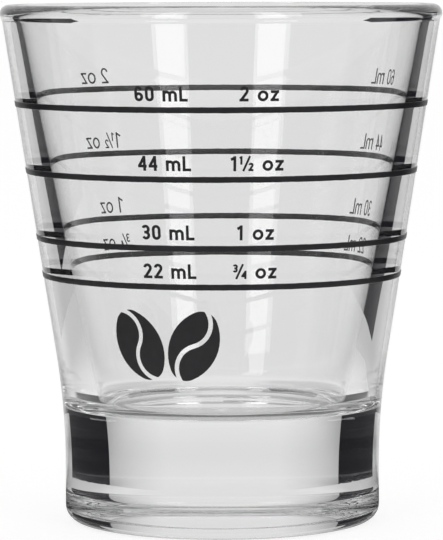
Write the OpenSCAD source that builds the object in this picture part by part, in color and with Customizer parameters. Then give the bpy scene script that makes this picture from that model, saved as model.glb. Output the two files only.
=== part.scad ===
// Espresso measuring glass: a pressed glass tumbler with fired measure lines and figures

/* [Glass] */
// Height from the table to the top of the rim
glass_h = 72; // [64:0.5:90]
// Diameter over the rim
rim_d = 61.4; // [54:0.1:76]
// Thickness of the rounded rim
rim_wall = 2.6; // [1.8:0.1:3.2]
// How far the rim stands out from the wall under it
lip = 0.2; // [0.05:0.05:0.5]
// Radius that blends the wall into the rim
lip_r = 1; // [0.5:0.1:3]
// Diameter of the foot
foot_d = 43.9; // [38:0.1:53]
// Height at which the foot turns into the bowl
foot_h = 15.6; // [12:0.1:18]
// Radius that blends the foot into the bowl
flare_r = 102; // [20:1:130]
// Radius of the heel round the bottom of the foot
heel_r = 2.2; // [0.6:0.1:3]
// Thickness of the glass under the bowl
base_h = 15.9; // [8:0.1:20]
// Inside diameter of the bowl at its floor
floor_d = 34.7; // [26:0.1:36]
// Radius between the floor and the wall of the bowl
floor_r = 2.8; // [2:0.1:10]
// Diameter of the shallow hollow under the foot
hollow_d = 35; // [20:1:36]
// Depth of the shallow hollow under the foot
hollow_h = 0.6; // [0.3:0.1:1.5]

/* [Measures] */
// Volume up to the highest line, in millilitres
first_fill = 62.3; // [50:0.1:64]
// Volume up to the second line, in millilitres
second_fill = 44.5; // [38:0.1:48]
// Volume up to the third line, in millilitres
third_fill = 29.2; // [28:0.1:36]
// Volume up to the lowest line, in millilitres
fourth_fill = 21.6; // [20:0.1:24]
// Volume marked at the highest line, in millilitres
first_ml = 60; // [50:1:62]
// Volume marked at the second line, in millilitres
second_ml = 44; // [38:1:48]
// Volume marked at the third line, in millilitres
third_ml = 30; // [28:1:36]
// Volume marked at the lowest line, in millilitres
fourth_ml = 22; // [20:1:24]
// Width of the lines
line_w = 0.8; // [0.4:0.1:1.2]

/* [Print] */
// Thickness of the fired print
print_t = 0.1; // [0.06:0.01:0.2]
// Height of the front figures
front_cap = 2; // [1.2:0.1:2.4]
// Stroke of the front figures
front_stroke = 0.37; // [0.15:0.01:0.42]
// Gap between a line and the front figures above it
front_gap = 0.75; // [0.2:0.05:1.2]
// Turn of the front millilitre figures from the middle of the front
front_ml_turn = -16; // [-30:1:-14]
// Turn of the front ounce figures from the middle of the front
front_oz_turn = 10; // [4:1:30]
// Height of the rear figures
rear_cap = 2.2; // [1.2:0.1:2.8]
// Stroke of the rear figures
rear_stroke = 0.24; // [0.12:0.01:0.4]
// Gap between a line and the rear figures above it
rear_gap = 0.4; // [0.2:0.05:1.2]
// Turn of the rear millilitre figures from the middle of the front
rear_ml_turn = 116; // [100:1:150]
// Turn of the rear ounce figures from the middle of the front
rear_oz_turn = 224; // [205:1:250]

/* [Beans] */
// Length of a printed coffee bean
bean_l = 10; // [6:0.1:12]
// Width of a printed coffee bean
bean_w = 6.6; // [4:0.1:7]
// Width of the slit along a bean
slit_w = 0.6; // [0.3:0.05:1]
// Radius of the two bends of the slit
slit_r = 3.2; // [3.1:0.1:8]
// Gap between the lowest line and the beans under it
bean_gap = 2.6; // [1:0.1:5]
// Distance between the middles of the two beans
bean_pitch = 7.7; // [7.5:0.1:12]
// Turn of the pair of beans from the middle of the front
pair_turn = -18.5; // [-60:0.5:60]
// Lean of the beans, each away from the other
bean_lean = 24; // [0:1:40]

/* [Hidden] */
// Steps along each round stretch of the outline, and along each curve of a figure
steps = 16;
figure_steps = 12;
// Cubic millimetres in a millilitre, and millilitres in a fluid ounce
mm3_per_ml = 1000;
ml_per_oz = 29.574;
// How far a figure's block reaches past the print on each side, and a slit past the end of its bean
past_print = 1;
slit_overrun = 1.2;
rim_round = rim_wall / 2;
foot_rad = foot_d / 2;
floor_rad = floor_d / 2;

// Points along an arc about a centre, turning from one angle to another
function arc(c, r, a0, a1, n) =
    [for (i = [0:n]) let (a = a0 + (a1 - a0) * i / n) c + r * [cos(a), sin(a)]];

// A list without its first entry
function tail(list) = [for (i = [1:len(list) - 1]) list[i]];

// The rim is a round that stands out over the outer wall and runs into the inner wall
rim_c = [rim_d / 2 - rim_round, glass_h - rim_round];
outer_run = rim_c - [foot_rad, foot_h];
inner_run = rim_c - [floor_rad, base_h];
outer_lean = atan2(outer_run.x, outer_run.y) + asin((rim_round - lip) / norm(outer_run));
inner_lean = atan2(inner_run.x, inner_run.y) - asin(rim_round / norm(inner_run));

// The arc that blends the outer wall into the rim touches both
lip_reach = rim_round + lip_r;
lip_turn = -outer_lean - acos((lip_reach - lip) / lip_reach);
lip_c = rim_c + lip_reach * [cos(lip_turn), sin(lip_turn)];

// The arc that blends the straight foot into the flared bowl
flare_c = [foot_rad + flare_r, foot_h - flare_r * tan(outer_lean / 2)];
flare_top = flare_c.y + flare_r * sin(outer_lean);

// The arc between the floor and the wall of the bowl
fillet_c = [floor_rad + floor_r * tan(inner_lean) - floor_r / cos(inner_lean), base_h + floor_r];

// The hollow under the foot is part of a large sphere
hollow_rad = (pow(hollow_d / 2, 2) + hollow_h * hollow_h) / (2 * hollow_h);
hollow_half = asin(hollow_d / 2 / hollow_rad);

// The outline: under the foot and round the heel, up the wall, over the rim and down into the bowl
under_points = concat(
    arc([0, hollow_h - hollow_rad], hollow_rad, 90, 90 - hollow_half, steps),
    arc([foot_rad - heel_r, heel_r], heel_r, -90, 0, steps));
flare_points = arc(flare_c, flare_r, 180, 180 - outer_lean, steps);
lip_points = arc(lip_c, lip_r, 180 - outer_lean, 180 + lip_turn, steps);
rim_points = tail(arc(rim_c, rim_round, lip_turn, 180 - inner_lean, steps));
floor_points = concat(
    arc(fillet_c, floor_r, -inner_lean, -90, steps),
    [[0, base_h]]);

// Radius of the outside of the glass at a height on the flare or the bowl
function outside(z) = z > flare_top
    ? foot_rad + (z - foot_h) * tan(outer_lean)
    : flare_c.x - sqrt(flare_r * flare_r - pow(max(z - flare_c.y, 0), 2));

// Volume of the bowl below the top of its fillet, and the height that a larger volume fills to
function slice(p, q) = PI / 3 * (p.y - q.y) * (p.x * p.x + p.x * q.x + q.x * q.x);
function total(list, i = 0) = i < len(list) ? list[i] + total(list, i + 1) : 0;
cone_start = floor_points[0];
cone_start_volume = total([for (i = [1:len(floor_points) - 1]) slice(floor_points[i - 1], floor_points[i])]);
function fill_radius(ml) = pow(
    pow(cone_start.x, 3) + 3 * tan(inner_lean) * (ml * mm3_per_ml - cone_start_volume) / PI, 1 / 3);
function fill_height(ml) = cone_start.y + (fill_radius(ml) - cone_start.x) / tan(inner_lean);

fills = [first_fill, second_fill, third_fill, fourth_fill];
marks = [first_ml, second_ml, third_ml, fourth_ml];
heights = [for (ml = fills) fill_height(ml)];
bean_z = heights[3] - line_w / 2 - bean_gap - bean_l / 2;
half_pitch = bean_pitch / 2 / outside(bean_z) * 180 / PI;
echo(line_heights = heights);

// Figures for a marked volume, with q, h and t for a quarter, a half and three quarters
function ml_text(ml) = str(ml, " mL");
function oz_quarters(ml) = round(4 * ml / ml_per_oz);
function oz_whole(q) = q >= 4 ? str(floor(q / 4)) : "";
function oz_text(ml) = str(oz_whole(oz_quarters(ml)), ["", "q", "h", "t"][oz_quarters(ml) % 4], " oz");

// Proportions of the figures, as shares of their height
figure_w = 0.6;
narrow_w = 0.42;
small_h = 0.72;
small_w = 0.56;
wide_w = 0.98;
fraction_w = 0.92;
space_w = 0.3;
gap_w = 0.15;
fraction_cap = 0.56;
fraction_stroke = 0.75;

function letter_w(c) =
    c == " " ? space_w :
    c == "1" ? narrow_w :
    c == "m" ? wide_w :
    c == "o" ? small_h :
    c == "z" || c == "L" ? small_w :
    c == "q" || c == "h" || c == "t" ? fraction_w : figure_w;

// Width of a text from its letter i on, and the place of that letter from the text's middle
function text_w(t, i = 0) = i < len(t) ? letter_w(t[i]) + gap_w + text_w(t, i + 1) : 0;
function letter_x(t, i) = text_w(t) / 2 - text_w(t, i) + (letter_w(t[i]) + gap_w) / 2;

ranks = ["first", "second", "third", "fourth"];
function ranked(piece) = [for (rank = ranks) str(rank, "_", piece)];
line_names = ranked("line");
front_ml_names = ranked("front_ml_figures");
front_oz_names = ranked("front_oz_figures");
rear_ml_names = ranked("rear_ml_figures");
rear_oz_names = ranked("rear_oz_figures");

// A straight stroke between two points
module stroke(a, b, s) {
    side = s / 2 * [a.y - b.y, b.x - a.x] / norm(b - a);
    polygon([a + side, a - side, b - side, b + side]);
}

// A curved stroke about a centre
module curve(c, r, s, a0, a1) {
    polygon(concat(
        arc(c, r + s / 2, a0, a1, figure_steps),
        arc(c, r - s / 2, a1, a0, figure_steps)));
}

module ring(c, r, s) {
    translate(c) difference() {
        circle(r + s / 2);
        circle(r - s / 2);
    }
}

module bar(x, y, w, h) {
    translate([x, y]) square([w, h]);
}

// One letter of height h and stroke s, with its left edge at zero
module letter(c, h, s) {
    w = letter_w(c) * h;
    r = (w - s) / 2;
    low = w / 2;
    high = h - w / 2;
    bowl = (h - s) / 4;
    x_h = small_h * h;
    if (c == "0") {
        curve([low, high], r, s, 0, 180);
        curve([low, low], r, s, 180, 360);
        bar(0, low, s, high - low);
        bar(w - s, low, s, high - low);
    }
    if (c == "1") {
        bar(w - 1.4 * s, 0, s, h);
        stroke([0, 0.76 * h], [w - 0.9 * s, h - s / 2], s);
    }
    if (c == "2") {
        curve([low, high], r, s, -38, 170);
        stroke([low + r * cos(38), high - r * sin(38)], [0.7 * s, 0.6 * s], s);
        bar(0, 0, w, s);
    }
    if (c == "3") {
        curve([low, h - s / 2 - bowl], bowl, s, -90, 155);
        curve([low, s / 2 + bowl], bowl, s, -155, 90);
        bar(low - 0.1 * h, (h - s) / 2, 0.12 * h, s);
    }
    if (c == "4") {
        bar(0.6 * w, 0, s, h);
        bar(0, 0.22 * h, w, s);
        stroke([0.4 * s, 0.22 * h + s / 2], [0.6 * w + s / 2, h - 0.45 * s], s);
    }
    if (c == "5") {
        bar(0.12 * w, h - s, 0.8 * w, s);
        bar(0.1 * w, 0.45 * h, s, 0.55 * h);
        curve([low, low], r, s, -155, 130);
    }
    if (c == "6" || c == "9") {
        turned = c == "9" ? [w, h] : [0, 0];
        translate(turned) rotate(c == "9" ? 180 : 0) {
            ring([low, low], r, s);
            bar(0, low, s, high - low);
            curve([low, high], r, s, 20, 180);
        }
    }
    if (c == "7") {
        bar(0, h - s, w, s);
        stroke([0.25 * w, 0], [w - 0.6 * s, h - 0.6 * s], s);
    }
    if (c == "8") {
        ring([low, h - s / 2 - bowl], bowl, s);
        ring([low, s / 2 + bowl], bowl, s);
    }
    if (c == "m") {
        arch = (w - s) / 4;
        bar(0, 0, s, x_h);
        for (i = [0, 1]) {
            x = s / 2 + arch * (1 + 2 * i);
            curve([x, x_h - arch - s / 2], arch, s, 0, 180);
            bar(x + arch - s / 2, 0, s, x_h - arch - s / 2);
        }
    }
    if (c == "L") {
        bar(0, 0, s, h);
        bar(0, 0, w, s);
    }
    if (c == "o") {
        ring([x_h / 2, x_h / 2], (x_h - s) / 2, s);
    }
    if (c == "z") {
        bar(0, 0, w, s);
        bar(0, x_h - s, w, s);
        stroke([0.7 * s, 0.6 * s], [w - 0.7 * s, x_h - 0.6 * s], s);
    }
    if (c == "q") fraction("1", "4", h, s);
    if (c == "h") fraction("1", "2", h, s);
    if (c == "t") fraction("3", "4", h, s);
}

// A small figure over another, with a slanted stroke between them
module fraction(top, bottom, h, s) {
    small = fraction_cap * h;
    thin = fraction_stroke * s;
    translate([0, h - small]) letter(top, small, thin);
    translate([(fraction_w - letter_w(bottom) * fraction_cap) * h, 0]) letter(bottom, small, thin);
    stroke([0.24 * h, 0], [0.68 * h, h], thin);
}

// The thin layer on the outside of the glass that the print fills, between two heights
module print_layer(z0, z1) {
    wall = concat(flare_points, [lip_points[0]]);
    out = [print_t / cos(outer_lean), 0];
    rotate_extrude($fn = 96)
        intersection() {
            polygon(concat(wall, [for (i = [len(wall) - 1:-1:0]) wall[i] + out]));
            bar(0, z0, rim_d, z1 - z0);
        }
}

// Stands a flat shape against the outside of the glass, deep enough to cross the print from z0 to z1
module stand_on_glass(z, z0, z1, turn) {
    near = outside(z0) - past_print;
    far = outside(z1) + past_print;
    rotate([0, 0, turn])
        translate([0, -near, z])
            rotate([90, 0, 0])
                linear_extrude(far - near)
                    children();
}

// A line of figures whose feet stand at a height
module figures(t, cap, s, z, turn) {
    per_figure = cap / outside(z) * 180 / PI;
    z0 = z - cap / 2;
    z1 = z + 3 * cap / 2;
    color("black") intersection() {
        print_layer(z0, z1);
        for (i = [0:len(t) - 1])
            if (t[i] != " ")
                stand_on_glass(z, z0, z1, turn + letter_x(t, i) * per_figure)
                    translate([-letter_w(t[i]) * cap / 2, 0])
                        letter(t[i], cap, s);
    }
}

module glass_body() {
    color("gainsboro", 0.4)
        rotate_extrude($fn = 180)
            polygon(concat(under_points, flare_points, lip_points, rim_points, floor_points));
}

module measure_line(i) {
    color("black") print_layer(heights[i] - line_w / 2, heights[i] + line_w / 2);
}

module front_figures(t, i, turn) {
    figures(t, front_cap, front_stroke, heights[i] + line_w / 2 + front_gap, turn);
}

module rear_figures(t, i, turn) {
    figures(t, rear_cap, rear_stroke, heights[i] + line_w / 2 + rear_gap, turn);
}

module front_ml_figures(i) {
    front_figures(ml_text(marks[i]), i, front_ml_turn);
}

module front_oz_figures(i) {
    front_figures(oz_text(marks[i]), i, front_oz_turn);
}

module rear_ml_figures(i) {
    rear_figures(ml_text(marks[i]), i, rear_ml_turn);
}

module rear_oz_figures(i) {
    rear_figures(oz_text(marks[i]), i, rear_oz_turn);
}

// An upright oval of four arcs, with a slit that bends one way and then the other
module bean_shape() {
    end_r = bean_w / 3;
    half = bean_l / 2 - end_r;
    side_r = (half * half + bean_w * bean_w / 4 - end_r * end_r) / (bean_w - 2 * end_r);
    side_x = side_r - bean_w / 2;
    swing = atan2(half, side_x);
    bend_x = sqrt(slit_r * slit_r - bean_l * bean_l / 16);
    bend = asin(bean_l / 4 / slit_r);
    difference() {
        polygon(concat(
            arc([-side_x, 0], side_r, -swing, swing, figure_steps),
            arc([0, half], end_r, swing, 180 - swing, figure_steps),
            arc([side_x, 0], side_r, 180 - swing, 180 + swing, figure_steps),
            arc([0, -half], end_r, 180 + swing, 360 - swing, figure_steps)));
        curve([-bend_x, bean_l / 4], slit_r, slit_w, -bend, slit_overrun * bend);
        curve([bend_x, -bean_l / 4], slit_r, slit_w, 180 - bend, 180 + slit_overrun * bend);
    }
}

module bean(turn, lean) {
    z0 = bean_z - bean_l / 2;
    z1 = bean_z + bean_l / 2;
    color("black") intersection() {
        print_layer(z0, z1);
        stand_on_glass(bean_z, z0, z1, turn) rotate(lean) bean_shape();
    }
}

module left_bean() {
    bean(pair_turn - half_pitch, bean_lean);
}

module right_bean() {
    bean(pair_turn + half_pitch, -bean_lean);
}

glass_body();
for (i = [0:len(marks) - 1]) {
    measure_line(i);
    front_ml_figures(i);
    front_oz_figures(i);
    rear_ml_figures(i);
    rear_oz_figures(i);
}
left_bean();
right_bean();
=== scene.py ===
"""Builds the espresso measuring glass: a clear pressed tumbler with fired measure marks."""
import math
from typing import NamedTuple

import bpy
from bpy.props import FloatProperty, FloatVectorProperty, IntProperty, PointerProperty
from mathutils import Matrix, Vector, noise


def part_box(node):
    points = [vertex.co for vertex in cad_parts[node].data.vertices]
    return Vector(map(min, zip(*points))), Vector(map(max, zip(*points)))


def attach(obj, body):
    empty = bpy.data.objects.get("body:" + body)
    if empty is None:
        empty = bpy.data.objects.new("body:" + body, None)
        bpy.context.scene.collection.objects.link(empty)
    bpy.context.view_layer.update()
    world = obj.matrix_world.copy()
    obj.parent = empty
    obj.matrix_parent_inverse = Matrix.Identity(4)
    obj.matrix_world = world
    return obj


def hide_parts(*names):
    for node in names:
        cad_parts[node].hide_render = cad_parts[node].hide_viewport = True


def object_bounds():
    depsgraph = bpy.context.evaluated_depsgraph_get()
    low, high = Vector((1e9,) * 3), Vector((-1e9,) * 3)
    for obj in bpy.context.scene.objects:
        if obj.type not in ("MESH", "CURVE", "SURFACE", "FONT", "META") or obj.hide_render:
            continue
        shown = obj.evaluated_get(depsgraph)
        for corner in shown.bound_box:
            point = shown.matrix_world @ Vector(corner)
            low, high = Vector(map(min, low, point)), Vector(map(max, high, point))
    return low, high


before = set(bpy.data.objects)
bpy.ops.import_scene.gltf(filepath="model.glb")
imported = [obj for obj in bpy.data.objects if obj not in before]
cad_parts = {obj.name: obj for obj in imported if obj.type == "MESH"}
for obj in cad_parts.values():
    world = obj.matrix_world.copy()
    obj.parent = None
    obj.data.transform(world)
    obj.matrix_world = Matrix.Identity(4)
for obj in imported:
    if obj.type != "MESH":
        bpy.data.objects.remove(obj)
CAD_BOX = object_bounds()
CAD_SIZE = CAD_BOX[1] - CAD_BOX[0]

bl_info = {
    "name": "Espresso Measuring Glass",
    "version": (1, 0, 0),
    "blender": (4, 5, 0),
    "location": "View3D > Sidebar > Glass",
    "description": "Makes a pressed measuring glass with fired marks, and the table and lamps around it",
    "category": "Add Mesh",
}

RANKS = ("first", "second", "third", "fourth")
LINE_NODES = [f"{rank}_line" for rank in RANKS]
BODY = "root"
MM = 0.001


class Card(NamedTuple):
    """A dark card that stands round the glass, in millimetres and in degrees from straight behind it."""

    name: str
    start: float
    end: float
    radius: float
    end_radius: float
    bottom: float
    top: float
    # How many surfaces of the glass a ray has met that sees the card
    met: tuple
    # Which part of the glass such a ray has left
    left: str
    dark: float = 1
    end_dark: float = 1
    ragged: float = 0


# How many surfaces of the glass the rays have met that see a card, the room or the table
STRAIGHT_RAYS = (2,)
BOWL_RAYS = (4,)
MIRROR_RAYS = (3,)
TABLE_MIRROR_RAYS = (1, 3)
FOOT_RAYS = (2, 5)
SHADE_RAYS = (2, 3, 5)
WALL_RAYS = (1, 3, 5, 6, 7)
# A ray counts as one surface further on when it reaches the room or a lamp
ROOM_AHEAD = 1
CARDS = (
    Card("tall_card_right", 44.5, 85, 102, 102, 0, 120, WALL_RAYS, "bowl"),
    Card("tall_card_left", -45, -85, 143, 143, 0, 120, WALL_RAYS, "bowl"),
    Card("low_card_right", 11.4, 33.3, 41, 38, 0, 15, FOOT_RAYS, "foot", ragged=0.3),
    Card("low_card_left", -12.4, -33.3, 41, 38, 0, 15, FOOT_RAYS, "foot", ragged=0.3),
    Card("shade_card_right", 3, 11.4, 41, 41, 0, 15, SHADE_RAYS, "foot", dark=0, end_dark=0.4),
    Card("shade_card_left", -3, -12.4, 41, 41, 0, 15, SHADE_RAYS, "foot", dark=0, end_dark=0.4),
    Card("high_card_right", 25, 75, 60, 60, 15, 90, STRAIGHT_RAYS, "foot"),
    Card("high_card_left", -25, -75, 60, 60, 15, 90, STRAIGHT_RAYS, "foot"),
)
CARD_STEPS = 120
# Bumps in a metre along the lower edge of a ragged card
RAGGED_SCALE = 1500
# How far the two walls of the clear sleeve stand off the bowl, and stop short of its foot and its rim
SLEEVE_GAPS = (1 * MM, 1.5 * MM)
SLEEVE_OVER_FOOT = 0.5 * MM
SLEEVE_UNDER_RIM = 1 * MM
SLEEVE_STEPS = 96
# More than one wall of the sleeve and fewer than two
BETWEEN_WALLS = 1.5
TABLE_STEPS = 64
BOUNCES = 48


class Span(NamedTuple):
    """Where a change of the light starts and where it is complete."""

    start: float
    end: float


def degree_span(start, end):
    """A span of angles."""
    return Span(math.radians(start), math.radians(end))


def millimetre_span(start, end):
    """A span of lengths."""
    return Span(start * MM, end * MM)


# Bearings, to either side from straight behind the glass
TO_SIDE = degree_span(20, 42)
TO_FRONT = degree_span(75, 115)
LET_THROUGH = degree_span(60, 80)
BESIDE_FOOT = degree_span(6, 14)
MIRRORED_SIDE = degree_span(35, 45)
# Elevations
TO_TOP = degree_span(32, 50)
MIRROR_RISE = degree_span(8, 12)
# Distances from the axis of the glass
TABLE_NEAR = millimetre_span(80, 300)
TABLE_OPEN = millimetre_span(50, 100)
FOOT_SHADE = millimetre_span(42, 52)
# Heights over the table
SOFT_BOX_LOW = millimetre_span(200, 240)


def length(name, description, default):
    """A property that holds a length in metres."""
    return FloatProperty(name=name, description=description, default=default, precision=6, unit="LENGTH")


def share(name, description, default):
    """A property that holds a share from 0 to 1."""
    return FloatProperty(name=name, description=description, default=default, min=0, max=1, subtype="FACTOR")


def colour(name, description, default):
    """A property that holds a colour."""
    return FloatVectorProperty(
        name=name, description=description, default=default, size=3, min=0, max=1, subtype="COLOR")


def angle(name, description, degrees):
    """A property that holds an angle."""
    return FloatProperty(name=name, description=description, default=math.radians(degrees), subtype="ANGLE")


def level(name, description, default):
    """A property that holds a strength of light, where 1 is white."""
    return FloatProperty(name=name, description=description, default=default, min=0)


class GlassSizes(bpy.types.PropertyGroup):
    """Sizes of the pressed glass."""

    height: length("Height", "From the table to the top of the rim", CAD_SIZE.z)
    rim_diameter: length("Rim Diameter", "Over the rim", CAD_SIZE.x)
    rim_wall: length("Rim Wall", "Thickness of the rounded rim", 2.6 * MM)
    lip: length("Lip", "How far the rim stands out from the wall under it", 0.2 * MM)
    lip_radius: length("Lip Radius", "Blends the wall into the rim", 1 * MM)
    foot_diameter: length("Foot Diameter", "Over the foot", 43.9 * MM)
    foot_height: length("Foot Height", "Where the foot turns into the bowl", 15.6 * MM)
    flare_radius: length("Flare Radius", "Blends the foot into the bowl", 102 * MM)
    heel_radius: length("Heel Radius", "Round the bottom of the foot", 2.2 * MM)
    base_height: length("Base Height", "Thickness of the glass under the bowl", 15.9 * MM)
    floor_diameter: length("Floor Diameter", "Inside the bowl at its floor", 34.7 * MM)
    floor_radius: length("Floor Radius", "Between the floor and the wall of the bowl", 2.8 * MM)
    hollow_diameter: length("Hollow Diameter", "The shallow hollow under the foot", 35 * MM)
    hollow_depth: length("Hollow Depth", "The shallow hollow under the foot", 0.6 * MM)
    proud: length("Proud", "How far the glass takes in the back of the print", 0.015 * MM)
    wave: length("Wave", "How far the pressed inside of the bowl wanders", 0.02 * MM)
    wave_size: length("Wave Size", "Width of a wave of the inside of the bowl", 9 * MM)
    wave_stretch: FloatProperty(
        name="Wave Stretch", description="How much longer than wide a wave is", default=4)
    around: IntProperty(name="Around", description="Steps round the glass", default=288)
    seed: IntProperty(name="Seed", description="Which set of waves is made", default=3)


class GlassFinish(bpy.types.PropertyGroup):
    """Finish of the glass."""

    tint: colour("Tint", "Colour of the glass, which deepens where it is thick", (0.5, 0.5, 0.52))
    density: FloatProperty(
        name="Density", description="How much light the glass takes in a metre", default=1.8, min=0)
    ior: FloatProperty(name="IOR", description="How much the glass bends light", default=1.52, min=1)


class PrintFinish(bpy.types.PropertyGroup):
    """Shape and finish of the fired print."""

    film: length("Film", "Thickness of the print", 0.1 * MM)
    sink: length("Sink", "How far the back of a line lies in the glass", 0.03 * MM)
    shoulder: length("Shoulder", "Width of the soft edge of a line", 0.09 * MM)
    wander: length("Wander", "How far the edges of a line wander", 0.05 * MM)
    grain: length("Grain", "Size of the bumps along the edges of a line", 1.1 * MM)
    around: IntProperty(name="Around", description="Steps round a line", default=720)
    ink: colour("Ink", "Colour of the print", (0.014, 0.0135, 0.016))
    worn_ink: colour("Worn Ink", "Colour of the print where it is thin", (0.03, 0.029, 0.033))
    roughness: share("Roughness", "Roughness of the print", 0.38)
    roughness_spread: share("Roughness Spread", "How far the roughness strays to either side", 0.1)
    cloud_scale: FloatProperty(name="Cloud Scale", description="Clouds of colour in a metre", default=900)
    grain_scale: FloatProperty(name="Grain Scale", description="Grains in a metre", default=9000)
    bump: share("Bump", "Strength of the grain", 0.25)
    bump_height: length("Bump Height", "Height of the grain", 0.02 * MM)


class StageSetup(bpy.types.PropertyGroup):
    """The table, the lamps and the camera."""

    room_behind: level("Room Behind", "Brightness of the room behind the glass", 0.81)
    room_side: level("Room Beside", "Brightness of the room beside the glass", 0.55)
    room_front: level("Room in Front", "Brightness of the room in front of the glass", 0.12)
    room_top: level("Room Above", "Brightness of the room over the glass", 0.8)
    table_colour: colour("Table", "Colour of the table", (0.3, 0.3, 0.3))
    table_behind: level("Table Behind", "Light that the table adds behind the glass", 0.615)
    table_side: level("Table Beside", "Light that the table adds beside the glass", 0.31)
    table_front: level("Table in Front", "Light that the table adds in front of the glass", 0.06)
    table_near: share("Table Near", "How much of that light is left close to the glass", 0.9)
    table_under: level("Table Under", "Light that the table adds under the glass", 0.6)
    table_white: level("Table White", "Light that the table adds in the picture", 0.8)
    table_reach: length("Table Reach", "Radius of the table", 4)
    table_drop: length("Table Drop", "How far the table lies under the glass", 0.03 * MM)
    beside_shade: share("Beside Shade", "How much the table darkens beside the foot", 0.33)
    contact_shade: share("Contact Shade", "How much the table darkens where the foot stands", 0.8)
    contact_inside: length("Contact Inside", "Width of the inner edge of that shade", 3 * MM)
    contact_outside: length("Contact Outside", "Width of the outer edge of that shade", 2 * MM)
    mirror_shade: share("Mirror Shade", "How much the table darkens in mirror images", 0.93)
    card_colour: colour("Card", "Colour of the dark cards", (0.0135, 0.013, 0.016))
    soft_box: level("Soft Box", "Brightness of the two soft boxes", 2.7)
    soft_box_side: length("Soft Box Side", "To either side of the axis of the glass", 500 * MM)
    soft_box_ahead: length("Soft Box Ahead", "In front of the axis of the glass", 800 * MM)
    soft_box_height: length("Soft Box Height", "Middle of a soft box over the table", 320 * MM)
    soft_box_width: length("Soft Box Width", "Across a soft box", 330 * MM)
    soft_box_length: length("Soft Box Length", "Along a soft box", 620 * MM)
    soft_box_aim: length("Soft Box Aim", "Height that the soft boxes face", 45 * MM)
    camera_distance: length("Camera Distance", "From the axis of the glass", 505.5 * MM)
    camera_height: length("Camera Height", "Over the table", 77 * MM)
    camera_side: length("Camera Side", "To the right of the axis", -0.03 * MM)
    camera_pitch: angle("Camera Pitch", "How far the camera looks down", 4.76)
    camera_roll: angle("Camera Roll", "How far the camera leans", -0.18)
    lens: FloatProperty(name="Lens", description="Focal length in millimetres", default=242)


class MeasuringGlass(bpy.types.PropertyGroup):
    """Everything that can be set for the glass and its stage."""

    glass: PointerProperty(type=GlassSizes)
    glass_finish: PointerProperty(type=GlassFinish)
    print_finish: PointerProperty(type=PrintFinish)
    stage: PointerProperty(type=StageSetup)


def feed(tree, socket, value):
    """Links a socket to another one, or sets its value."""
    if isinstance(value, bpy.types.NodeSocket):
        tree.links.new(value, socket)
    else:
        socket.default_value = value


def add(tree, kind, inputs=None, **settings):
    """Adds a node, with its settings and what its inputs take, by name or by number."""
    node = tree.nodes.new(kind)
    for name, value in settings.items():
        setattr(node, name, value)
    for key, value in (inputs or {}).items():
        feed(tree, node.inputs[key], value)
    return node


def maths(tree, operation, *values):
    """Adds a math node and returns its result."""
    node = add(tree, "ShaderNodeMath", dict(enumerate(values)), operation=operation)
    return node.outputs[0]


def vector_maths(tree, operation, *values):
    """Adds a vector math node and returns its result."""
    inputs = dict(enumerate(values))
    if operation == "SCALE":
        inputs = {"Vector": values[0], "Scale": values[1]}
    return add(tree, "ShaderNodeVectorMath", inputs, operation=operation).outputs[0]


def arc(centre, radius, start, end, steps):
    """Points along an arc, from one angle in radians to another."""
    turns = [start + (end - start) * i / steps for i in range(steps + 1)]
    return [(centre[0] + radius * math.cos(turn), centre[1] + radius * math.sin(turn)) for turn in turns]


def straight(start, end, steps):
    """Points along a straight line, without its two ends."""
    shares = [i / steps for i in range(1, steps)]
    return [(start[0] + (end[0] - start[0]) * i, start[1] + (end[1] - start[1]) * i) for i in shares]


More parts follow.
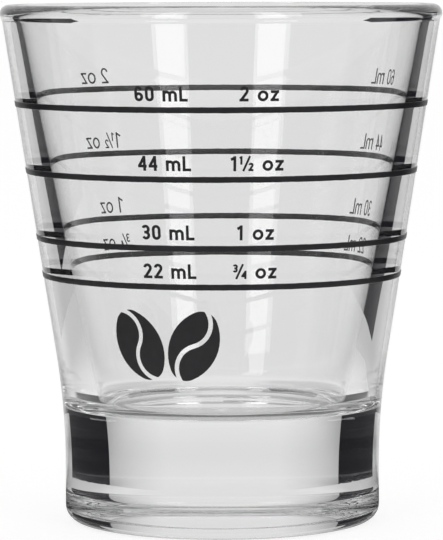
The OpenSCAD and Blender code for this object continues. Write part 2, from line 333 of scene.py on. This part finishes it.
class Outline:
    """The half section of the glass, worked out from its sizes."""

    def __init__(self, sizes):
        quarter = math.pi / 2
        rim_round = sizes.rim_wall / 2
        self.foot = sizes.foot_diameter / 2 + sizes.proud
        self.foot_height = sizes.foot_height
        rim = (sizes.rim_diameter / 2 - rim_round + sizes.proud, sizes.height - rim_round)
        floor = sizes.floor_diameter / 2
        outer_run = (rim[0] - self.foot, rim[1] - sizes.foot_height)
        inner_run = (rim[0] - floor, rim[1] - sizes.base_height)
        self.lean = math.atan2(*outer_run) + math.asin((rim_round - sizes.lip) / math.hypot(*outer_run))
        inner_lean = math.atan2(*inner_run) - math.asin(rim_round / math.hypot(*inner_run))
        lip_reach = rim_round + sizes.lip_radius
        lip_turn = -self.lean - math.acos(1 - sizes.lip / lip_reach)
        lip = (rim[0] + lip_reach * math.cos(lip_turn), rim[1] + lip_reach * math.sin(lip_turn))
        hollow = sizes.hollow_diameter / 2
        hollow_round = (hollow ** 2 + sizes.hollow_depth ** 2) / (2 * sizes.hollow_depth)
        flare = (self.foot + sizes.flare_radius,
                 sizes.foot_height - sizes.flare_radius * math.tan(self.lean / 2))
        fillet = (floor + sizes.floor_radius * (math.tan(inner_lean) - 1 / math.cos(inner_lean)),
                  sizes.base_height + sizes.floor_radius)
        heel = (self.foot - sizes.heel_radius, sizes.heel_radius)
        hollow_end = quarter - math.asin(hollow / hollow_round)
        under = arc((0, sizes.hollow_depth - hollow_round), hollow_round, quarter, hollow_end, steps=24)
        heeled = arc(heel, sizes.heel_radius, -quarter, 0, steps=14)
        flared = arc(flare, sizes.flare_radius, math.pi, math.pi - self.lean, steps=24)
        lipped = arc(lip, sizes.lip_radius, math.pi - self.lean, math.pi + lip_turn, steps=10)
        over_rim = arc(rim, rim_round, lip_turn, math.pi - inner_lean, steps=40)
        rounded = arc(fillet, sizes.floor_radius, -inner_lean, -quarter, steps=24)
        upright = straight(heeled[-1], flared[0], steps=6)
        outer = straight(flared[-1], lipped[0], steps=24)
        inner = straight(over_rim[-1], rounded[0], steps=90)
        middle = (0, sizes.base_height)
        floor_run = straight(rounded[-1], middle, steps=20)
        solid = under + heeled + upright + flared + outer + lipped + over_rim[1:]
        self.points = solid + inner + rounded + floor_run + [middle]
        # The waves of the bowl start from nothing over this many points
        fade = 12
        ease = [min(1, (i + 1) / fade, (len(inner) - i) / fade) for i in range(len(inner))]
        self.give = [(0, 0)] * len(solid) + [(eased, 0) for eased in ease] + [(0, 0)] * len(rounded)
        self.give += [(0, min(1, (i + 1) / fade)) for i in range(len(floor_run))] + [(0, 1)]

    def wall(self, height):
        """Radius of the outside of the bowl at a height."""
        return self.foot + (height - self.foot_height) * math.tan(self.lean)


def sampled(tree, outline, value, index, kind):
    """Reads a value of the outline's points at an index."""
    node = add(tree, "GeometryNodeSampleIndex", data_type=kind, domain="POINT")
    feed(tree, node.inputs["Geometry"], outline)
    feed(tree, node.inputs["Value"], value)
    feed(tree, node.inputs["Index"], index)
    return node.outputs["Value"]


def revolve_tree():
    """The node tree that turns an outline round the axis and lets chosen points wander."""
    name = "revolved_outline"
    if name in bpy.data.node_groups:
        return bpy.data.node_groups[name]
    tree = bpy.data.node_groups.new(name, "GeometryNodeTree")
    tree.is_modifier = True
    for socket, kind in (
            ("Outline", "NodeSocketGeometry"), ("Around", "NodeSocketInt"), ("Wander", "NodeSocketFloat"),
            ("Grain", "NodeSocketFloat"), ("Stretch", "NodeSocketFloat"), ("Seed", "NodeSocketFloat"),
            ("Material", "NodeSocketMaterial")):
        tree.interface.new_socket(socket, in_out="INPUT", socket_type=kind)
    tree.interface.new_socket("Mesh", in_out="OUTPUT", socket_type="NodeSocketGeometry")
    given = add(tree, "NodeGroupInput").outputs
    size = add(tree, "GeometryNodeAttributeDomainSize", {"Geometry": given["Outline"]})
    count = size.outputs["Point Count"]
    grid = add(tree, "GeometryNodeMeshGrid", {
        "Size X": 1, "Size Y": 1,
        "Vertices X": maths(tree, "ADD", given["Around"], 1), "Vertices Y": count})
    place = add(tree, "GeometryNodeInputPosition").outputs[0]
    on_grid = add(tree, "ShaderNodeSeparateXYZ", {0: place}).outputs
    turn = maths(tree, "MULTIPLY", maths(tree, "ADD", on_grid["X"], 0.5), math.tau)
    step = maths(tree, "MULTIPLY", maths(tree, "ADD", on_grid["Y"], 0.5), maths(tree, "SUBTRACT", count, 1))
    index = add(tree, "FunctionNodeFloatToInt", {0: step}, rounding_mode="ROUND").outputs[0]
    point = sampled(tree, given["Outline"], place, index, "FLOAT_VECTOR")
    give_input = add(tree, "GeometryNodeInputNamedAttribute", {"Name": "give"}, data_type="FLOAT_VECTOR")
    give = sampled(tree, given["Outline"], give_input.outputs["Attribute"], index, "FLOAT_VECTOR")

    def turned(vector):
        """Turns a point of the outline to its place round the axis."""
        inputs = {"Vector": vector, "Angle": turn}
        return add(tree, "ShaderNodeVectorRotate", inputs, rotation_type="Z_AXIS").outputs[0]

    stretch = add(tree, "ShaderNodeCombineXYZ", {
        "X": 1, "Y": 1, "Z": maths(tree, "DIVIDE", 1, given["Stretch"])}).outputs[0]
    grain = add(tree, "ShaderNodeTexNoise", {
        "Vector": vector_maths(tree, "MULTIPLY", turned(point), stretch), "W": given["Seed"],
        "Scale": maths(tree, "DIVIDE", 1, given["Grain"]), "Detail": 2}, noise_dimensions="4D")
    drift = maths(tree, "MULTIPLY", maths(tree, "SUBTRACT", grain.outputs[0], 0.5),
                  maths(tree, "MULTIPLY", given["Wander"], 2))
    moved = vector_maths(tree, "ADD", point, vector_maths(tree, "SCALE", give, drift))
    shaped = add(tree, "GeometryNodeSetPosition", {
        "Geometry": grid.outputs["Mesh"], "Position": turned(moved)})
    closed = add(tree, "GeometryNodeMergeByDistance", {"Geometry": shaped.outputs[0], "Distance": 1e-6})
    smooth = add(tree, "GeometryNodeSetShadeSmooth", {"Geometry": closed.outputs[0]})
    whole = add(tree, "GeometryNodeRealizeInstances", {"Geometry": smooth.outputs[0]})
    dressed = add(tree, "GeometryNodeSetMaterial", {
        "Geometry": whole.outputs[0], "Material": given["Material"]})
    add(tree, "NodeGroupOutput", {0: dressed.outputs[0]})
    return tree


def revolve(name, points, give, inputs):
    """Makes a mesh object by turning an outline round the axis."""
    outline = bpy.data.meshes.new(name)
    outline.from_pydata([(x, 0, z) for x, z in points], [(i, i + 1) for i in range(len(points) - 1)], [])
    outline.attributes.new("give", "FLOAT_VECTOR", "POINT")
    outline.attributes["give"].data.foreach_set("vector", [part for x, z in give for part in (x, 0, z)])
    piece = bpy.data.objects.new(name, outline)
    bpy.context.collection.objects.link(piece)
    modifier = piece.modifiers.new("revolve", "NODES")
    modifier.node_group = revolve_tree()
    for item in modifier.node_group.interface.items_tree:
        if item.in_out == "INPUT" and item.name in inputs:
            modifier[item.identifier] = inputs[item.name]
    graph = bpy.context.evaluated_depsgraph_get()
    made = bpy.data.meshes.new_from_object(piece.evaluated_get(graph))
    piece.modifiers.clear()
    piece.data = made
    if not made.polygons:
        raise RuntimeError(f"{name} came out empty")
    return piece


def new_material(name):
    """A material with nothing in it but its output."""
    material = bpy.data.materials.new(name)
    material.use_nodes = True
    material.node_tree.nodes.clear()
    return material, material.node_tree


def clear_glass(finish):
    """Clear pressed glass."""
    material, tree = new_material("clear_glass")
    shader = add(tree, "ShaderNodeBsdfPrincipled", {
        "Base Color": (1, 1, 1, 1), "Roughness": 0, "IOR": finish.ior, "Transmission Weight": 1})
    inside = add(tree, "ShaderNodeVolumeAbsorption", {
        "Color": (*finish.tint, 1), "Density": finish.density})
    add(tree, "ShaderNodeOutputMaterial", {"Surface": shader.outputs[0], "Volume": inside.outputs[0]})
    return material


def fired_print(finish):
    """Black enamel fired on the glass, a little uneven in colour and gloss."""
    material, tree = new_material("fired_print")
    place = add(tree, "ShaderNodeTexCoord").outputs["Object"]
    cloud = add(tree, "ShaderNodeTexNoise", {"Vector": place, "Scale": finish.cloud_scale, "Detail": 3})
    grain = add(tree, "ShaderNodeTexNoise", {"Vector": place, "Scale": finish.grain_scale, "Detail": 2})
    mix = add(tree, "ShaderNodeMix", {
        "Factor": cloud.outputs[0], 6: (*finish.ink, 1), 7: (*finish.worn_ink, 1)}, data_type="RGBA")
    rough = add(tree, "ShaderNodeMapRange", {
        "Value": cloud.outputs[0], "To Min": finish.roughness - finish.roughness_spread,
        "To Max": finish.roughness + finish.roughness_spread})
    bump = add(tree, "ShaderNodeBump", {
        "Strength": finish.bump, "Distance": finish.bump_height, "Height": grain.outputs[0]})
    shader = add(tree, "ShaderNodeBsdfPrincipled", {
        "Base Color": mix.outputs[2], "Roughness": rough.outputs[0], "Normal": bump.outputs[0]})
    add(tree, "ShaderNodeOutputMaterial", {"Surface": shader.outputs[0]})
    return material


def material_for(name, make, finish):
    """The material of that name, made once."""
    return bpy.data.materials.get(name) or make(finish)


def settings():
    """What has been set for the glass."""
    return bpy.context.scene.measuring_glass


class GLASS_OT_body(bpy.types.Operator):
    """Make the pressed glass"""

    bl_idname = "measuring_glass.body"
    bl_label = "Glass Body"

    def execute(self, context):
        sizes = settings().glass
        outline = Outline(sizes)
        piece = revolve("pressed_glass", outline.points, outline.give, {
            "Around": sizes.around, "Wander": sizes.wave, "Grain": sizes.wave_size,
            "Stretch": sizes.wave_stretch, "Seed": float(sizes.seed),
            "Material": material_for("clear_glass", clear_glass, settings().glass_finish)})
        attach(piece, BODY)
        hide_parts("glass_body")
        return {"FINISHED"}


class GLASS_OT_lines(bpy.types.Operator):
    """Make the four measure lines"""

    bl_idname = "measuring_glass.lines"
    bl_label = "Measure Lines"

    def execute(self, context):
        finish = settings().print_finish
        outline = Outline(settings().glass)
        up = Vector((math.sin(outline.lean), math.cos(outline.lean)))
        out = Vector((up.y, -up.x))
        for number, node in enumerate(LINE_NODES):
            low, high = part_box(node)
            middle = (low.z + high.z) / 2
            half = (high.z - low.z) / 2 / up.y
            start = Vector((outline.wall(middle), middle)) - out * settings().glass.proud
            section = [(half, -finish.sink)]
            for x, y in arc((0, 0), 1, 0, math.pi / 2, steps=5):
                section.append((half - finish.shoulder * (1 - x), finish.film * y))
            section += [(-along, over) for along, over in reversed(section)]
            section.append(section[0])
            points = [start + up * along + out * over for along, over in section]
            piece = revolve(f"printed_{node}", points, [up] * len(points), {
                "Around": finish.around, "Wander": finish.wander, "Grain": finish.grain, "Stretch": 1.0,
                "Seed": float(number), "Material": material_for("fired_print", fired_print, finish)})
            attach(piece, BODY)
            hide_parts(node)
        return {"FINISHED"}


class GLASS_OT_figures(bpy.types.Operator):
    """Finish the figures and the beans"""

    bl_idname = "measuring_glass.figures"
    bl_label = "Figures and Beans"

    def execute(self, context):
        material = material_for("fired_print", fired_print, settings().print_finish)
        for name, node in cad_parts.items():
            if name != "glass_body" and name not in LINE_NODES:
                node.data.materials.clear()
                node.data.materials.append(material)
        return {"FINISHED"}


def smooth_step(tree, value, span, low=0, high=1):
    """Goes smoothly from one level to another while a value goes through a span."""
    return add(tree, "ShaderNodeMapRange", {
        "Value": value, "From Min": span.start, "From Max": span.end, "To Min": low, "To Max": high},
        interpolation_type="SMOOTHSTEP").outputs["Result"]


def has_met(tree, counts, ahead=0):
    """Tells whether a ray has met so many surfaces of the glass, or one of a few such numbers."""
    depth = add(tree, "ShaderNodeLightPath").outputs["Ray Depth"]
    found = 0
    for count in counts:
        found = maths(tree, "ADD", found, maths(tree, "COMPARE", depth, count + ahead, 0.5))
    return found


def has_left(tree, part):
    """Tells which part of the glass a ray has left, by whether it has passed both walls of the sleeve."""
    walls = add(tree, "ShaderNodeLightPath").outputs["Transparent Depth"]
    return maths(tree, "LESS_THAN" if part == "foot" else "GREATER_THAN", walls, BETWEEN_WALLS)


def ray_from(tree, part, counts, ahead=0):
    """Tells whether a ray has left that part of the glass after so many surfaces."""
    return maths(tree, "MULTIPLY", has_met(tree, counts, ahead), has_left(tree, part))


def bearing(tree, place):
    """How far a place lies to either side, in radians from straight behind the glass."""
    parts = add(tree, "ShaderNodeSeparateXYZ", {0: place}).outputs
    return maths(tree, "ABSOLUTE", maths(tree, "ARCTAN2", parts["X"], parts["Y"]))


def mix_of(tree, factor, first, second):
    """Mixes two levels."""
    return add(tree, "ShaderNodeMix", {"Factor": factor, "A": first, "B": second}).outputs[0]


def fall_off(tree, turn, levels, foot=0, ahead=0):
    """A brightness that falls off to the sides and the front, but less for rays let straight through."""
    behind, side, front = levels
    straight_on = has_met(tree, STRAIGHT_RAYS, ahead)
    bowl = ray_from(tree, "bowl", BOWL_RAYS, ahead)
    through = maths(tree, "ADD", straight_on, maths(tree, "ADD", foot, bowl))
    to_side = smooth_step(tree, turn, TO_SIDE, behind, side)
    dim = mix_of(tree, smooth_step(tree, turn, TO_FRONT), to_side, front)
    lit = maths(tree, "MULTIPLY", through, smooth_step(tree, turn, LET_THROUGH))
    return mix_of(tree, lit, dim, behind)


def seen_white(tree, strength, white):
    """One strength for what the camera sees and another for everything else."""
    rays = add(tree, "ShaderNodeLightPath").outputs
    return mix_of(tree, rays["Is Camera Ray"], strength, white)


def darkened(tree, light, amount, where):
    """A light that is darkened by an amount, where it is to be."""
    return maths(tree, "MULTIPLY", light, maths(tree, "MULTIPLY_ADD", where, -amount, 1))


def table_finish(setup):
    """A pale table that is white in the picture and keeps its shadow."""
    material, tree = new_material("pale_table")
    place = add(tree, "ShaderNodeTexCoord").outputs["Object"]
    turn = bearing(tree, place)
    away = add(tree, "ShaderNodeVectorMath", {0: place}, operation="LENGTH").outputs["Value"]
    near = smooth_step(tree, away, TABLE_NEAR, setup.table_near)
    levels = (setup.table_behind, setup.table_side, setup.table_front)
    outside = maths(tree, "MULTIPLY", near, fall_off(tree, turn, levels))
    beside = maths(tree, "MULTIPLY", smooth_step(tree, turn, BESIDE_FOOT),
                   smooth_step(tree, away, FOOT_SHADE, 1, 0))
    under = darkened(tree, setup.table_under, setup.beside_shade, beside)
    light = mix_of(tree, smooth_step(tree, away, TABLE_OPEN), under, outside)
    sizes = settings().glass
    inner = sizes.hollow_diameter / 2
    outer = sizes.foot_diameter / 2 - sizes.heel_radius
    past_foot = smooth_step(tree, away, Span(outer, outer + setup.contact_outside))
    touched = maths(tree, "SUBTRACT", smooth_step(tree, away, Span(inner - setup.contact_inside, inner)),
                    past_foot)
    light = darkened(tree, light, setup.contact_shade, touched)
    mirrored = ray_from(tree, "foot", TABLE_MIRROR_RAYS)
    aside = maths(tree, "MULTIPLY", smooth_step(tree, turn, MIRRORED_SIDE), past_foot)
    shade = maths(tree, "MULTIPLY", mirrored, maths(tree, "MULTIPLY", aside, setup.mirror_shade))
    light = darkened(tree, light, 1, shade)
    shaded_colour = add(tree, "ShaderNodeMix", {
        "Factor": shade, 6: (*setup.table_colour, 1), 7: (0, 0, 0, 1)}, data_type="RGBA").outputs[2]
    diffuse = add(tree, "ShaderNodeBsdfDiffuse", {"Color": shaded_colour})
    glow = add(tree, "ShaderNodeEmission", {
        "Color": (1, 1, 1, 1), "Strength": seen_white(tree, light, setup.table_white)})
    both = add(tree, "ShaderNodeAddShader", {0: diffuse.outputs[0], 1: glow.outputs[0]})
    add(tree, "ShaderNodeOutputMaterial", {"Surface": both.outputs[0]})
    return material


def black_card(card, tone):
    """Black card, seen by the rays that it is meant for."""
    material, tree = new_material(card.name)
    black = add(tree, "ShaderNodeEmission", {"Color": (*tone, 1), "Strength": 1})
    clear = add(tree, "ShaderNodeBsdfTransparent")
    dark = add(tree, "ShaderNodeAttribute", attribute_name="dark").outputs["Fac"]
    meant = ray_from(tree, card.left, card.met)
    mix = add(tree, "ShaderNodeMixShader", {
        0: maths(tree, "MULTIPLY", dark, meant), 1: clear.outputs[0], 2: black.outputs[0]})
    add(tree, "ShaderNodeOutputMaterial", {"Surface": mix.outputs[0]})
    return material


def stage_mesh(name, vertices, faces, material):
    """A mesh that belongs to the stage."""
    mesh = bpy.data.meshes.new(name)
    mesh.from_pydata(vertices, [], faces)
    mesh.materials.append(material)
    thing = bpy.data.objects.new(name, mesh)
    bpy.context.collection.objects.link(thing)
    return thing


def seen_in_glass_only(thing):
    """Hides a thing of the stage from the camera and from the light on the table."""
    thing.visible_camera = False
    thing.visible_diffuse = False
    thing.visible_shadow = False


def standing_card(card, tone):
    """A curved card that stands round the glass and is seen only in it."""
    bottom, top, darks = [], [], []
    for i in range(CARD_STEPS + 1):
        along = i / CARD_STEPS
        turn = math.radians(card.start + (card.end - card.start) * along)
        radius = (card.radius + (card.end_radius - card.radius) * along) * MM
        x, y = radius * math.sin(turn), radius * math.cos(turn)
        lift = card.ragged * abs(noise.noise((x * RAGGED_SCALE, y * RAGGED_SCALE, 0)))
        bottom.append((x, y, (card.bottom + lift) * MM))
        top.append((x, y, card.top * MM))
        darks.append(card.dark + (card.end_dark - card.dark) * along)
    faces = [(i, i + 1, CARD_STEPS + i + 2, CARD_STEPS + i + 1) for i in range(CARD_STEPS)]
    thing = stage_mesh(card.name, bottom + top, faces, black_card(card, tone))
    thing.data.attributes.new("dark", "FLOAT", "POINT").data.foreach_set("value", darks * 2)
    seen_in_glass_only(thing)


def clear_sleeve(outline, height):
    """A clear sleeve with two walls round the bowl, which only marks the rays that pass it."""
    points, faces = [], []
    for gap in SLEEVE_GAPS:
        low = len(points)
        high = low + SLEEVE_STEPS
        for end in (outline.foot_height + SLEEVE_OVER_FOOT, height - SLEEVE_UNDER_RIM):
            radius = outline.wall(end) + gap
            points += [(*place, end) for place in arc((0, 0), radius, 0, math.tau, SLEEVE_STEPS)[:-1]]
        for i in range(SLEEVE_STEPS):
            after = (i + 1) % SLEEVE_STEPS
            faces.append((low + i, low + after, high + after, high + i))
    material, tree = new_material("clear_sleeve")
    add(tree, "ShaderNodeOutputMaterial", {"Surface": add(tree, "ShaderNodeBsdfTransparent").outputs[0]})
    seen_in_glass_only(stage_mesh("clear_sleeve", points, faces, material))


def soft_box_glow(lamp):
    """Lets the inside of the foot mirror only the upper part of a soft box."""
    lamp.use_nodes = True
    tree = lamp.node_tree
    tree.nodes.clear()
    mirrored = ray_from(tree, "foot", MIRROR_RAYS, ROOM_AHEAD)
    place = add(tree, "ShaderNodeNewGeometry").outputs["Position"]
    over_table = add(tree, "ShaderNodeSeparateXYZ", {0: place}).outputs["Z"]
    hidden = maths(tree, "MULTIPLY", mirrored, smooth_step(tree, over_table, SOFT_BOX_LOW, 1, 0))
    glow = add(tree, "ShaderNodeEmission", {"Strength": maths(tree, "SUBTRACT", 1, hidden)})
    add(tree, "ShaderNodeOutputLight", {"Surface": glow.outputs[0]})


def place_soft_box(name, side, setup):
    """A soft box in front of the glass, to the left or the right, that faces it."""
    lamp = bpy.data.lights.new(name, "AREA")
    lamp.shape = "RECTANGLE"
    lamp.size = setup.soft_box_width
    lamp.size_y = setup.soft_box_length
    lamp.energy = setup.soft_box * math.pi * setup.soft_box_width * setup.soft_box_length
    soft_box_glow(lamp)
    place = Vector((side * setup.soft_box_side, -setup.soft_box_ahead, setup.soft_box_height))
    facing = Vector((0, 0, setup.soft_box_aim)) - place
    thing = bpy.data.objects.new(name, lamp)
    thing.location = place
    thing.rotation_euler = facing.to_track_quat("-Z", "Y").to_euler()
    thing.visible_camera = False
    bpy.context.collection.objects.link(thing)


def rise(elevations):
    """How high directions of length 1 reach at the two ends of a span of elevations."""
    return Span(math.sin(elevations.start), math.sin(elevations.end))


def light_room(setup):
    """A room that is pale behind the glass and dimmer in front of it, and white in the picture."""
    world = bpy.data.worlds.new("pale_room")
    world.use_nodes = True
    tree = world.node_tree
    tree.nodes.clear()
    direction = add(tree, "ShaderNodeTexCoord").outputs["Generated"]
    levels = (setup.room_behind, setup.room_side, setup.room_front)
    height = add(tree, "ShaderNodeSeparateXYZ", {0: direction}).outputs["Z"]
    rising = smooth_step(tree, height, rise(MIRROR_RISE))
    foot = maths(tree, "MULTIPLY", ray_from(tree, "foot", MIRROR_RAYS, ROOM_AHEAD), rising)
    round_about = fall_off(tree, bearing(tree, direction), levels, foot, ROOM_AHEAD)
    overall = mix_of(tree, smooth_step(tree, height, rise(TO_TOP)), round_about, setup.room_top)
    strength = seen_white(tree, overall, 1)
    back = add(tree, "ShaderNodeBackground", {"Color": (1, 1, 1, 1), "Strength": strength})
    add(tree, "ShaderNodeOutputWorld", {"Surface": back.outputs[0]})
    bpy.context.scene.world = world


def place_camera(setup):
    """The camera, in front of the glass and a little over its rim."""
    data = bpy.data.cameras.new("camera")
    data.lens = setup.lens
    camera = bpy.data.objects.new("camera", data)
    camera.location = (setup.camera_side, -setup.camera_distance, setup.camera_height)
    look = Vector((0, math.cos(setup.camera_pitch), -math.sin(setup.camera_pitch)))
    facing = look.to_track_quat("-Z", "Y").to_matrix().to_4x4()
    camera.rotation_euler = (facing @ Matrix.Rotation(setup.camera_roll, 4, "Z")).to_euler()
    bpy.context.collection.objects.link(camera)
    bpy.context.scene.camera = camera


class GLASS_OT_stage(bpy.types.Operator):
    """Make the table, the lamps and the camera"""

    bl_idname = "measuring_glass.stage"
    bl_label = "Stage"

    def execute(self, context):
        setup = settings().stage
        scene = context.scene
        scene.view_settings.view_transform = "Standard"
        scene.cycles.max_bounces = BOUNCES
        scene.cycles.transmission_bounces = BOUNCES
        scene.cycles.glossy_bounces = BOUNCES
        light_room(setup)
        place_camera(setup)
        edge = arc((0, 0), setup.table_reach, 0, math.tau, TABLE_STEPS)[:-1]
        table = [(x, y, -setup.table_drop) for x, y in edge]
        stage_mesh("table", table, [tuple(range(TABLE_STEPS))], table_finish(setup))
        for card in CARDS:
            standing_card(card, setup.card_colour)
        clear_sleeve(Outline(settings().glass), settings().glass.height)
        place_soft_box("soft_box_left", -1, setup)
        place_soft_box("soft_box_right", 1, setup)
        return {"FINISHED"}


class GLASS_PT_panel(bpy.types.Panel):
    """Lists what makes the measuring glass"""

    bl_idname = "GLASS_PT_panel"
    bl_label = "Measuring Glass"
    bl_space_type = "VIEW_3D"
    bl_region_type = "UI"
    bl_category = "Glass"

    def draw(self, context):
        for operator in OPERATORS:
            self.layout.operator(operator.bl_idname)


GROUPS = (GlassSizes, GlassFinish, PrintFinish, StageSetup, MeasuringGlass)
OPERATORS = (GLASS_OT_body, GLASS_OT_lines, GLASS_OT_figures, GLASS_OT_stage)
CLASSES = (*GROUPS, *OPERATORS, GLASS_PT_panel)


def register():
    """Makes the classes known to Blender."""
    for kind in CLASSES:
        bpy.utils.register_class(kind)
    bpy.types.Scene.measuring_glass = PointerProperty(type=MeasuringGlass)


def unregister():
    """Takes the classes out again."""
    del bpy.types.Scene.measuring_glass
    for kind in reversed(CLASSES):
        bpy.utils.unregister_class(kind)


def main():
    """Makes the glass and its stage."""
    register()
    bpy.ops.measuring_glass.body()
    bpy.ops.measuring_glass.lines()
    bpy.ops.measuring_glass.figures()
    bpy.ops.measuring_glass.stage()


if __name__ == "__main__":
    main()
